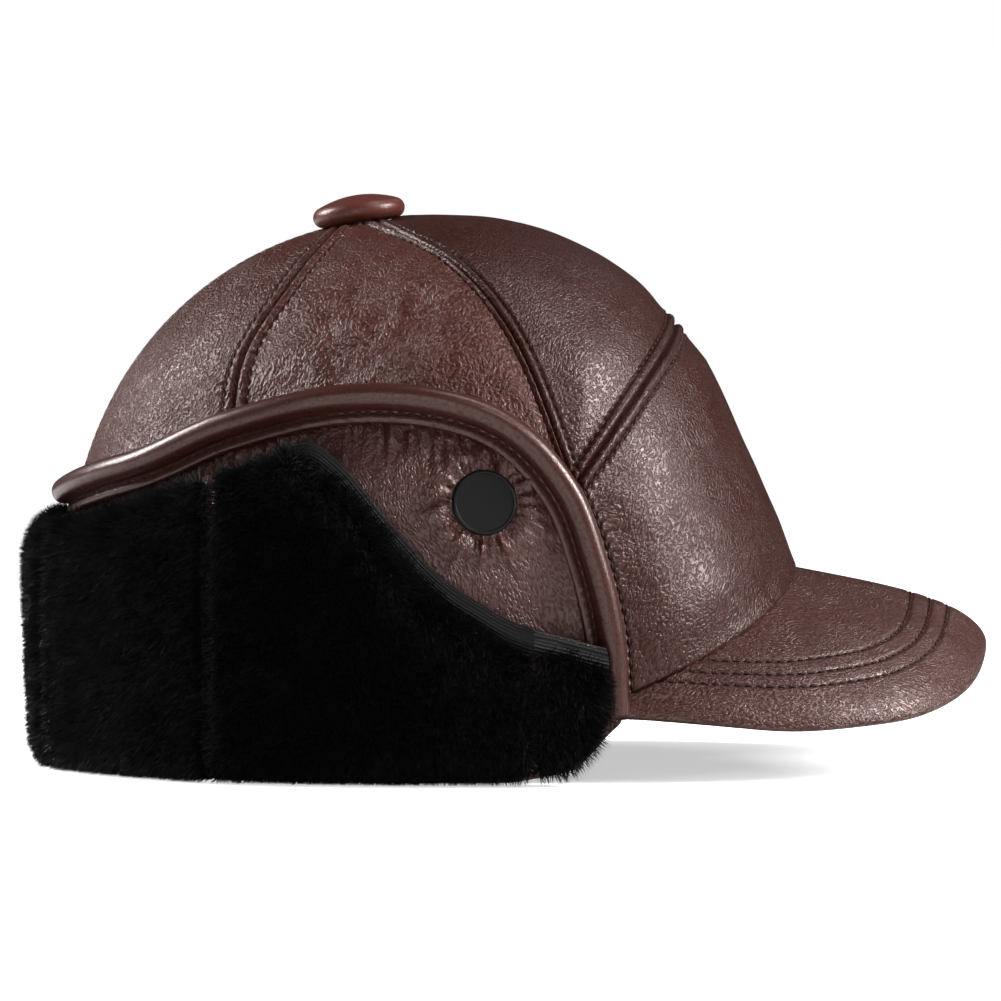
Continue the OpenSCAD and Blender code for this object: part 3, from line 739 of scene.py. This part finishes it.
def stitch_group():
    """Sets a stitch on every point, lying along the attribute way with its back to the attribute facing."""
    group, add, given = new_group("stitch_rows", {
        "Row": ("Geometry", None), "Half length": ("Float", 0.0012), "Thickness": ("Float", 0.0003),
        "Thread": ("Material", None)}, "Stitches")
    facing, way = (add("GeometryNodeInputNamedAttribute", {"Name": name}, data_type="FLOAT_VECTOR")
                   for name in ("facing", "way"))
    upright = add("FunctionNodeAlignRotationToVector", {"Vector": facing}, axis="Z")
    turned = add("FunctionNodeAlignRotationToVector", {"Vector": way, "Rotation": upright}, axis="X",
                 pivot_axis="Z")
    thick = given["Thickness"]
    size = add("ShaderNodeCombineXYZ", {"X": given["Half length"], "Y": thick, "Z": thick})
    thread = add("GeometryNodeMeshUVSphere", {"Segments": 8, "Rings": 5, "Radius": 1.0})
    stitches = add("GeometryNodeInstanceOnPoints", {"Points": given["Row"], "Instance": thread,
                                                    "Rotation": turned, "Scale": size})
    real = add("GeometryNodeRealizeInstances", {0: stitches})
    dyed = add("GeometryNodeSetMaterial", {"Geometry": real, "Material": given["Thread"]})
    add("NodeGroupOutput", {"Stitches": dyed})
    return group


def apply_nodes(piece, group, values):
    """Puts a geometry node group on a piece, sets its named inputs, and keeps the mesh that it makes."""
    modifier = piece.modifiers.new(group.name, "NODES")
    modifier.node_group = group
    for socket in group.interface.items_tree:
        if socket.in_out == "INPUT" and socket.name in values:
            modifier[socket.identifier] = values[socket.name]
    piece.update_tag()
    bpy.context.view_layer.update()
    result = bpy.data.meshes.new_from_object(piece.evaluated_get(bpy.context.evaluated_depsgraph_get()))
    piece.modifiers.clear()
    piece.data = result


def paced(line, facing, pitch):
    """Stitch centres, facings and ways at an even pitch along a line of points."""
    length = run_lengths(line[None], 1)[0]
    at = np.arange(0.5 * pitch, length[-1], pitch)

    def read(values, where):
        return np.stack([np.interp(where, length, values[:, k]) for k in range(3)], -1)

    return read(line, at), unit(read(facing, at)), unit(read(line, at + 0.3) - read(line, at - 0.3))


thread_sink, brim_thread_sink = 0.4, 0.33  # how deep the rows lie in their channels


def beside_seam(seam, offset, start, end):
    """A row on the crown at an offset to the left of a seam, in the channel that the panels have there."""
    line = on_crown(spline(seam, np.linspace(start, end, 400)))
    line = on_crown(line + offset * unit(np.cross(outward(line), along_path(line))))
    facing = outward(line)
    height = soft_shape(line) * min(abs(offset) / soft_reach, 1) - thread_sink
    return paced(line + height[:, None] * facing, facing, stitch_pitch)


def brim_row(row):
    """A row on the brim at its distance from the edge, where that lies on the brim."""
    across = np.linspace(0.02, 0.98, 500)
    out = np.linspace(0.02, 0.99, 160)
    away = inset(brim_point(across[:, None], out[None]))
    wanted = row_inset(row, across)
    share = np.array([np.interp(-w, -a, out) for w, a in zip(wanted, away)])
    share, across = share[away[:, 0] > wanted], across[away[:, 0] > wanted]
    line = brim_point(across, share)
    facing = brim_normal(across, share)
    return paced(line + (soft_brim(line) - brim_thread_sink)[:, None] * facing, facing, stitch_pitch)


def sew(name, rows, thread, half_length=0.00115, thickness=0.00036):
    centres, facings, ways = (np.concatenate(parts) for parts in zip(*rows))
    piece = mesh_object(name, centres, [])
    for attribute, values in (("facing", facings), ("way", ways)):
        stored = piece.data.attributes.new(attribute, "FLOAT_VECTOR", "POINT")
        stored.data.foreach_set("vector", values.ravel())
    apply_nodes(piece, stitch_rows, {"Half length": half_length, "Thickness": thickness, "Thread": thread})
    piece.data.polygons.foreach_set("use_smooth", [True] * len(piece.data.polygons))
    finish_piece(piece, thread, None, "root")


stitch_rows = stitch_group()
brown_thread = plain_material("brown_thread", (0.02, 0.006, 0.004), 0.55, 0.3)
pale_thread = plain_material("pale_thread", (0.30, 0.17, 0.14), 0.6)
both_rows = (-seam_stitch, seam_stitch)
crown_rows = [beside_seam(turn(seam), offset, start, 0.985)
              for _, turn in both_sides for offset in both_rows
              for seam, start in ((front_seam, 0.12), (back_seam, 0.1))]
crown_rows += [beside_seam(centre_back, offset, 0.1, 0.985) for offset in both_rows]
crown_rows += [beside_seam(mirrored(forehead_top), offset, 0.01, 0.99) for offset in both_rows]
crown_rows += [beside_seam(front_edge, edge_stitch, 0.04, 0.97)]
crown_rows += [beside_seam(flip(front_edge), -edge_stitch, 0.04, 0.97)]
sew("crown_stitches", crown_rows, brown_thread)
sew("brim_stitches", [brim_row(row) for row in range(len(row_insets))], brown_thread)
roll_line = roll_base + roll_stitch * roll_across + 0.05 * roll_up
roll_rows = [paced(turn(roll_line), turn(roll_up), stitch_pitch) for _, turn in both_sides]
sew("roll_stitches", roll_rows, brown_thread)
edge_row = top_edge + 0.85 * edge_out - 3.6 * edge_up
sew("brim_edge_stitches", [paced(edge_row, edge_out - edge_up, 4.0)], pale_thread, 0.0004, 0.00026)

# ---- Ear discs -------------------------------------------
# A black disc of brushed metal over each ear, in a shallow cup with a bevelled rim. Its rivet goes
# through the panel to a washer inside.
disc_r = 9.25
disc_sunk = 0.9
disc_black, add = new_material("disc_black")
brush = add("ShaderNodeMapping", {"Vector": add("ShaderNodeTexCoord")["Object"],
                                  "Rotation": (0.0, 0.7, 0.0), "Scale": (0.06, 1.0, 1.0)})
streaks = add("ShaderNodeTexNoise", {"Vector": brush, "Scale": 2200.0, "Detail": 3.0})["Fac"]
brushed = add("ShaderNodeBump", {"Strength": 0.5, "Distance": 0.00015, "Height": streaks})
principled(add, {"Base Color": (0.003, 0.003, 0.0028, 1), "Specular IOR Level": 0.3, "Roughness": 0.38,
                 "Normal": brushed})
# The disc's edge as distance in from its radius, and height.
disc_rim = [(0.8, 0.1), (0.1, 0.5), (0.0, 1.0), (0.05, 1.6), (0.3, 2.0), (0.7, 2.25), (1.0, 2.2),
            (1.15, 1.95), (1.25, 1.85)]
disc_profile = [(0, 0.1), *[(disc_r - inner, z) for inner, z in disc_rim], (4.0, 1.85), (0, 1.85)]
for side, turn in both_sides:
    facing = turn(outward(on_crown(disc_seat[None]))[0])
    disc = lathe("black_disc_" + side, disc_profile, turn(disc_seat) - disc_sunk * facing, facing, 30)
    finish_piece(disc, disc_black, "disc", "root", "ear_disc_" + side)

# ---- Fur cuff --------------------------------------------
# A turned-up cuff of black plush on a leather backing, in seven sections that turn down together.
# Its free edge in front of the nape is bound with ribbed tape. The pile grows from a padded skin.
cuff_dirs = np.radians([180.0, 222.0, 262.0, 288.0])
cuff_stand_off = [0.9, 0.9, 0.9, 6.7]
cuff_gap = 0.5
cuff_front_x = 28.0
backing_t, hinge_gap = 1.4, 0.4
backing_out = backing_t + hinge_gap
cuff_depth, fur_reach = 14.4, 3.6  # out to the tips of the fur, and how much of it is strands
plush_out = 0.9 + cuff_depth - fur_reach  # the padded skin where it is fullest
back_axis, side_axis, front_axis = crown_back - band_drop, crown_w - band_drop, 118.0
section_names = ["nape_flap", "rear_flap", "ear_flap", "temple_flap"]
ear, temple_end = 2, 3  # the sections that carry tape
fur_below_edge = 2.0  # from the free edge down to the skin of the fur
fur_below_taped_edge = [2.0, 2.0, 9.0, 5.6]
fold_round, edge_round, taped_round = 11.0, 13.0, 10.0  # heights over which the fur rounds off
fold_thinning = 0.26  # what share of its depth the fur loses towards the fold
front_cut = 2.6  # the backing stops short of the fur in front


def support(i):
    c, s = math.cos(cuff_dirs[i]), math.sin(cuff_dirs[i])
    return math.hypot((front_axis if c > 0 else back_axis) * c, side_axis * s) + cuff_stand_off[i]


def section_axes(i):
    c = cuff_dirs[i]
    return np.array([math.cos(c), math.sin(c)]), np.array([-math.sin(c), math.cos(c)])


def corner(i):
    """Where two neighbouring fold lines cross, seen from the crown's centre."""
    a, b = cuff_dirs[i], cuff_dirs[i + 1]
    p, q = support(i), support(i + 1)
    return np.array([p * math.sin(b) - q * math.sin(a), q * math.cos(a) - p * math.cos(b)]) / math.sin(b - a)


def section_ends(i, d):
    """Ends of a section along its fold at a depth d, so that neighbours meet on the plane between them."""
    out, way = section_axes(i)
    foot = support(i) * out
    d = np.maximum(d, 0)
    last = (corner(i) - foot) @ way if i < 3 else (cuff_front_x - crown_centre[0] - foot[0]) / way[0]
    last_lean = math.tan((cuff_dirs[i + 1] - cuff_dirs[i]) / 2) if i < 3 else 0.0
    first = (corner(i - 1) - foot) @ way if i > 0 else -last
    first_lean = math.tan((cuff_dirs[i] - cuff_dirs[i - 1]) / 2) if i > 0 else last_lean
    return first + d * first_lean + cuff_gap / 2, last - d * last_lean - cuff_gap / 2


def from_centre(i, u, d):
    """Points seen from above, at u along a section's fold and d out from it. Either may be one number."""
    out, way = section_axes(i)
    u, d = np.broadcast_arrays(np.asarray(u, float), np.asarray(d, float))
    return (support(i) + d)[..., None] * out + u[..., None] * way


def cuff_points(i, u, d, z):
    x, y = np.moveaxis(from_centre(i, u, d) + crown_centre[:2], -1, 0)
    return joined(x, y, z)


def cuff_x(i, u, d):
    return from_centre(i, u, d)[..., 0] + crown_centre[0]


cuff_edge = np.array([
    [-150, 74], [-128, 74], [-118, 76.5], [-106, 80], [-85, 86], [-66, 92.5], [-55, 96], [-46.7, 90.7],
    [-40, 83.3], [-34, 75.7], [-28, 69], [-21.7, 62], [-14.4, 55.8], [-7, 51.2], [0.3, 46.9],
    [7.6, 44.1], [15, 42.2], [21.6, 40.3], [32, 37.5]])


def cuff_top(x):
    """Height of the cuff's free edge, a smooth line through the points above."""
    return np.interp(x, *spline(cuff_edge, np.linspace(0, 1, 400)).T)


def fold_low(x):
    return np.interp(x, [-30, -1, 13, 18.5, 22, 25, 28], [0.4, 3, 4.7, 6, 9, 13, 20])


def smooth_depth(i, u):
    """Depth at which a section meets one smooth outline round the whole cuff."""
    def beyond(depth):
        p = from_centre(i, u, depth)
        lengthwise = np.where(p[..., 0] > 0, front_axis, back_axis) + plush_out
        return (p[..., 0] / lengthwise) ** 2 + (p[..., 1] / (side_axis + plush_out)) ** 2 > 1

    return crossing(beyond, np.zeros_like(u), np.full_like(u, 40.0), 26)


def rounded(share, power):
    """Rises from 0 at share 0 to 1 at share 1, steeply at first."""
    return (1 - (1 - share) ** power) ** 0.5


def skin_grid(i):
    """Outer and inner points of a section's padded skin, from its top edge down to the fold."""
    s = np.linspace(0, 1, 46)[None]
    v = np.linspace(1, 0, 40)[:, None]
    u = lerp(*section_ends(i, 0.0), s) + 0 * v
    full = smooth_depth(i, u)
    x = cuff_x(i, u, full)
    taped = np.clip((x + 62) / 8, 0, 1) if i >= ear else 0 * x
    top = cuff_top(x) - lerp(fur_below_edge, fur_below_taped_edge[i], taped)
    low = fold_low(x) + 1.2 - 1.7 * np.clip((x + 12) / 12, 0, 1)
    z = lerp(low, top, v)
    lean = 1 - fold_thinning * (1 - (z - low) / (top - low)) ** 1.5
    front = np.clip((cuff_front_x - 0.8 - x) / 6.0, 0, 1) if i == temple_end else 1.0
    fullness = rounded(np.clip((z - low) / fold_round, 0, 1), 2.4)
    fullness = fullness * rounded(np.clip((top - z) / lerp(edge_round, taped_round, taped), 0, 1), 2.2)
    fullness = fullness * lean * rounded(front, 2.2)
    depth = backing_out + 0.3 + (full - backing_out - 0.3) * fullness
    depths = depth, backing_out + 0.05 + 0 * depth
    return [cuff_points(i, lerp(*section_ends(i, d), s), d, z) for d in depths]


table_clearance = 0.0002  # strands that reach the table lie flat on it


def fur_group():
    """Grows leaning strands from the faces marked by the attribute pile, and keeps the skin under them."""
    group, add, given = new_group("plush_pile", {
        "Skin": ("Geometry", None), "Strands per square metre": ("Float", 6e6),
        "Strand length": ("Float", 0.0058), "Strand thickness": ("Float", 0.00028),
        "Comb": ("Vector", (0.0, 0.0, -0.45)), "Disorder": ("Float", 0.5), "Seed": ("Int", 1),
        "Fur material": ("Material", None)}, "Fur")
    skin, seed = given["Skin"], given["Seed"]
    marked = add("GeometryNodeInputNamedAttribute", {"Name": "pile"}, data_type="FLOAT")
    amount = add("ShaderNodeMath", {0: given["Strands per square metre"], 1: marked}, operation="MULTIPLY")
    roots = add("GeometryNodeDistributePointsOnFaces", {"Mesh": skin, "Density": amount, "Seed": seed},
                distribute_method="RANDOM")
    stray = add("FunctionNodeRandomValue", {"Min": (-1, -1, -1), "Max": (1, 1, 1), "Seed": seed},
                data_type="FLOAT_VECTOR")
    strayed = add("ShaderNodeVectorMath", {0: stray, "Scale": given["Disorder"]}, operation="SCALE")
    cloud = add("ShaderNodeTexNoise", {"Scale": 140.0, "Detail": 2.0})["Color"]
    tufts = add("ShaderNodeVectorMath", {0: cloud, 1: (1.6, 1.6, 1.6), 2: (-0.8, -0.8, -0.8)},
                operation="MULTIPLY_ADD")
    way = roots["Normal"]
    for source in (given["Comb"], strayed, tufts):
        way = add("ShaderNodeVectorMath", {0: way, 1: source})
    lean = add("FunctionNodeAlignRotationToVector", {"Vector": way}, axis="Z")
    strand = add("GeometryNodeMeshCone", {"Vertices": 3, "Radius Top": 0.0, "Depth": given["Strand length"],
                                          "Radius Bottom": given["Strand thickness"]})
    size = add("FunctionNodeRandomValue", {2: 0.65, 3: 1.1, "Seed": seed}, data_type="FLOAT")[1]
    grown = add("GeometryNodeInstanceOnPoints", {"Points": roots, "Instance": strand, "Rotation": lean,
                                                 "Scale": size})
    together = add("GeometryNodeJoinGeometry", {0: grown})
    group.links.new(skin, together[0].node.inputs[0])  # a join takes both through one input
    real = add("GeometryNodeRealizeInstances", {0: together})
    at = add("ShaderNodeSeparateXYZ", {0: add("GeometryNodeInputPosition")})
    above = add("ShaderNodeMath", {0: at["Z"], 1: table_clearance}, operation="MAXIMUM")
    held = add("ShaderNodeCombineXYZ", {"X": at["X"], "Y": at["Y"], "Z": above})
    pressed = add("GeometryNodeSetPosition", {"Geometry": real, "Position": held})
    dyed = add("GeometryNodeSetMaterial", {"Geometry": pressed, "Material": given["Fur material"]})
    add("NodeGroupOutput", {"Fur": dyed})
    return group


def grow_fur(piece, pile, values):
    """Grows fur on a piece where pile, a number for each point, is 1."""
    piece.data.attributes.new("pile", "FLOAT", "POINT").data.foreach_set("value", pile)
    apply_nodes(piece, plush_pile, {**values, "Fur material": black_fur})


black_fur = plain_material("black_fur", (0.0035, 0.0033, 0.0035), 0.55, 0.25)
black_tape = plain_material("black_tape", (0.0018, 0.0019, 0.0019), 0.45, 0.18)
plush_pile = fur_group()


def cuff_section(i, side, turn, seed):
    """One section of the cuff: its plush, its leather backing, and from the ear forwards its tape."""
    kind, tail = section_names[i], "" if i == 0 else "_" + side
    body = kind + tail
    outer, inner = (turn(sheet) for sheet in skin_grid(i))
    plush = closed_sheet("plush_" + body, outer, inner)
    pile = np.repeat([1.0, 0.0], outer[..., 0].size)
    grow_fur(plush, pile, {"Strands per square metre": 5.8e6, "Seed": seed})
    finish_piece(plush, black_fur, "black_fur", body, kind + "_fur" + tail)
    first, last = section_ends(i, backing_out)
    u = np.linspace(first, last - (front_cut if i == temple_end else 0), 60)
    v = np.linspace(1, 0, 30)[:, None]
    plates = []
    for d in (backing_out, hinge_gap):
        x = cuff_x(i, u, d)
        low = fold_low(x) + 0.6 + 2.6 * np.clip((x + 16) / 12, 0, 1)
        plates.append(turn(cuff_points(i, u, d, lerp(low, cuff_top(x) - 0.7, v))))
    backing = closed_sheet("backing_" + body, *plates)
    finish_piece(backing, band_leather, "flap_leather", body, kind + "_leather" + tail)
    if i >= ear:
        tape = tube("ribbed_tape_" + body, turn(tape_loops(i)), 60)
        finish_piece(tape, black_tape, "tape", body, kind + "_tape" + tail)


# The tape's closed outline, as depth from the fold line and height from the free edge. It runs down
# the fur's side first, where fine ribs follow its length.
tape_outline = np.array([
    [2.6, -7.6], [3.4, -6.6], [3.9, -5.6], [4.0, -4.6], [3.7, -3.6], [3.2, -2.6], [2.6, -1.5],
    [1.7, -0.5], [0.9, -0.1], [0.3, -0.5], [0.25, -3.0], [0.25, -7.6], [1.9, -7.8]])
tape_from_x = -63.0  # behind this the fur covers the free edge
rib_pitch, rib_height, ribbed_run = 1.05, 0.16, 12.0
outline_steps = 5  # between two points of the outline


def tape_loops(i):
    """The tape's outline along a section's free edge. Its ends go on until they meet the next section's."""
    fine = [tape_outline[0]]
    for a, b in zip(tape_outline[:-1], tape_outline[1:]):
        fine += [lerp(a, b, k / outline_steps) for k in range(1, outline_steps + 1)]
    fine = np.array(fine)
    run = run_lengths(fine[None], 1)[0]
    way = unit(np.gradient(fine, axis=0))
    ribs = rib_height * np.cos(run / rib_pitch * 2 * np.pi) * (run < ribbed_run)
    fine = fine + ribs[:, None] * joined(way[:, 1], -way[:, 0])
    inmost = np.array(section_ends(i, 0.0))
    u = np.linspace(*inmost, 400)
    start = u[cuff_x(i, u, 2.0) > tape_from_x][0] if i == ear else -math.inf
    rings = []
    for d, height in fine:
        first, last = 2 * inmost - np.array(section_ends(i, d)) + [-0.22, 0.22]
        u = np.linspace(max(first, start), last, 90)
        rings.append(cuff_points(i, u, d, cuff_top(cuff_x(i, u, 2.0)) + height))
    return np.stack(rings, 1)


cuff_section(0, "right", np.asarray, 11)
for i in (1, 2, 3):
    cuff_section(i, "right", np.asarray, 20 + i)
    cuff_section(i, "left", flip, 30 + i)

# ---- Inside of the hat -----------------------------------
# Black plush lines the band behind the leather, and a woven lining covers the wadding of the crown.
# The sweatband is leather, the stiffener card, and the rivet and washers are steel.
lining = new_object("plush_band_lining", bpy.data.objects["band_fur_lining"].data.copy())
places, facings = (np.empty(len(lining.data.vertices) * 3) for _ in range(2))
lining.data.vertices.foreach_get("co", places)
lining.data.vertices.foreach_get("normal", facings)
to_middle = crown_centre[:2] * MM - places.reshape(-1, 3)[:, :2]
faces_in = (to_middle * facings.reshape(-1, 3)[:, :2]).sum(-1) > 0
grow_fur(lining, faces_in.astype(float), {"Strands per square metre": 3.5e5, "Strand length": 0.005,
                                          "Strand thickness": 0.0007, "Seed": 5})
finish_piece(lining, black_fur, "black_fur", "root", "band_fur_lining")


def cloth_material(name, light, dark, scale, roughness, bump):
    """Two sets of threads that cross. A low scale makes them broad, like soft wadding."""
    material, add = new_material(name)
    place = add("ShaderNodeTexCoord")["Object"]
    weave = {"Vector": place, "Scale": scale, "Distortion": 1.5}
    across, along = (add("ShaderNodeTexWave", weave, bands_direction=axis)["Fac"] for axis in ("X", "Z"))
    cross = add("ShaderNodeMath", {0: across, 1: along}, operation="MULTIPLY")
    shade = add("ShaderNodeMixRGB", {"Fac": cross, "Color1": (*dark, 1), "Color2": (*light, 1)})
    relief = add("ShaderNodeBump", {"Distance": bump, "Height": cross})
    principled(add, {"Base Color": shade, "Roughness": roughness, "Normal": relief})
    return material


plated_steel = plain_material("plated_steel", (0.42, 0.41, 0.39), 0.3, metallic=1.0)
woven_black = cloth_material("woven_black", (0.012, 0.012, 0.014), (0.003, 0.003, 0.0035), 320.0, 0.5, 1e-4)
wadding = cloth_material("wadding", (0.72, 0.71, 0.68), (0.5, 0.49, 0.46), 60.0, 0.95, 6e-4)
for name, material in (("crown_lining", woven_black), ("crown_padding", wadding),
                       ("sweatband", under_leather), ("forehead_stiffener", board_card),
                       ("button_rivet", plated_steel), ("disc_washer_left", plated_steel),
                       ("disc_washer_right", plated_steel)):
    bpy.data.objects[name].material_slots[0].material = material
